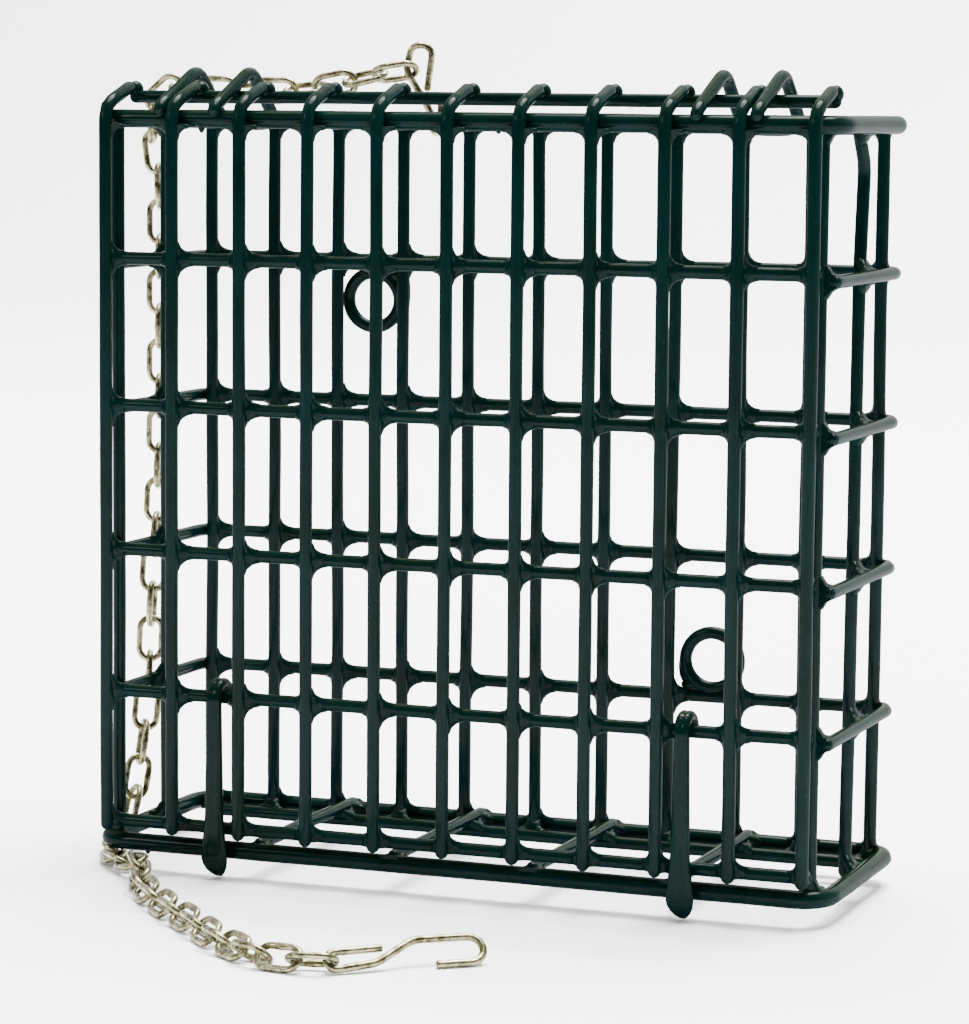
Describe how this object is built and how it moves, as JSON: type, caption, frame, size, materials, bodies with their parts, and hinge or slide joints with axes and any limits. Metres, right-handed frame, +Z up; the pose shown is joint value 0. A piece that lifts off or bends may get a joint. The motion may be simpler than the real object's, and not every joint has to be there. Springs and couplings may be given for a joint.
{
  "type": "hanging suet cage bird feeder",
  "caption": "Vinyl-dipped wire cage for a suet cake, with a grid door hinged over its top front edge, two spring latches under the bottom edge, and a hanging chain with hooks.",
  "frame": {"origin": "middle of the cage's footprint, chain left out, at the undersides of the two latches", "axes": "+X to the right as seen from the door, +Y from the door to the back, +Z up"},
  "size_m": [0.1426, 0.1081, 0.146],
  "materials": {
    "green_vinyl": "glossy dark green vinyl dip over steel wire",
    "zinc_chain": "bright zinc plate"
  },
  "bodies": {
    "cage": {"bottom_ring": "green_vinyl", "chain_floor": "zinc_chain", "chain_side": "zinc_chain", "chain_top": "zinc_chain", "end_hook": "zinc_chain", "floor_bar_1": "green_vinyl", "floor_bar_2": "green_vinyl", "floor_bar_3": "green_vinyl", "floor_bar_4": "green_vinyl", "front_post_left": "green_vinyl", "front_post_right": "green_vinyl", "hinge_staple_left": "green_vinyl", "hinge_staple_right": "green_vinyl", "hoop_1": "green_vinyl", "hoop_2": "green_vinyl", "hoop_3": "green_vinyl", "hoop_4": "green_vinyl", "rear_sill": "green_vinyl", "rear_upright_00": "green_vinyl", "rear_upright_01": "green_vinyl", "rear_upright_02": "green_vinyl", "rear_upright_03": "green_vinyl", "rear_upright_04": "green_vinyl", "rear_upright_05": "green_vinyl", "rear_upright_06": "green_vinyl", "rear_upright_07": "green_vinyl", "rear_upright_08": "green_vinyl", "rear_upright_09": "green_vinyl", "rear_upright_10": "green_vinyl", "screw_eye_lower": "green_vinyl", "screw_eye_upper": "green_vinyl", "side_upright_left": "green_vinyl", "side_upright_right": "green_vinyl", "top_hook": "zinc_chain", "top_ring": "green_vinyl"},
    "door": {"door_bottom_rail": "green_vinyl", "door_rail_1": "green_vinyl", "door_rail_2": "green_vinyl", "door_rail_3": "green_vinyl", "door_rail_4": "green_vinyl", "door_upright_00": "green_vinyl", "door_upright_01": "green_vinyl", "door_upright_02": "green_vinyl", "door_upright_03": "green_vinyl", "door_upright_04": "green_vinyl", "door_upright_05": "green_vinyl", "door_upright_06": "green_vinyl", "door_upright_07": "green_vinyl", "door_upright_08": "green_vinyl", "door_upright_09": "green_vinyl", "door_upright_10": "green_vinyl", "hinge_rod": "green_vinyl"},
    "latch_left_spring": {"latch_left": "green_vinyl"},
    "latch_right_spring": {"latch_right": "green_vinyl"}
  },
  "joints": [
    {"name": "door_hinge", "type": "hinge", "parent": "cage", "child": "door", "pos_m": [0, -0.01138, 0.1358], "axis": [-1, 0, 0], "range_deg": [0, 115]},
    {"name": "latch_left_flex", "type": "hinge", "parent": "door", "child": "latch_left_spring", "pos_m": [0, -0.02079, 0.0319], "axis": [-1, 0, 0], "range_deg": [0, 20], "stiffness_Nm_per_rad": 0.1},
    {"name": "latch_right_flex", "type": "hinge", "parent": "door", "child": "latch_right_spring", "pos_m": [0, -0.02079, 0.0319], "axis": [-1, 0, 0], "range_deg": [0, 20], "stiffness_Nm_per_rad": 0.1}
  ]
}
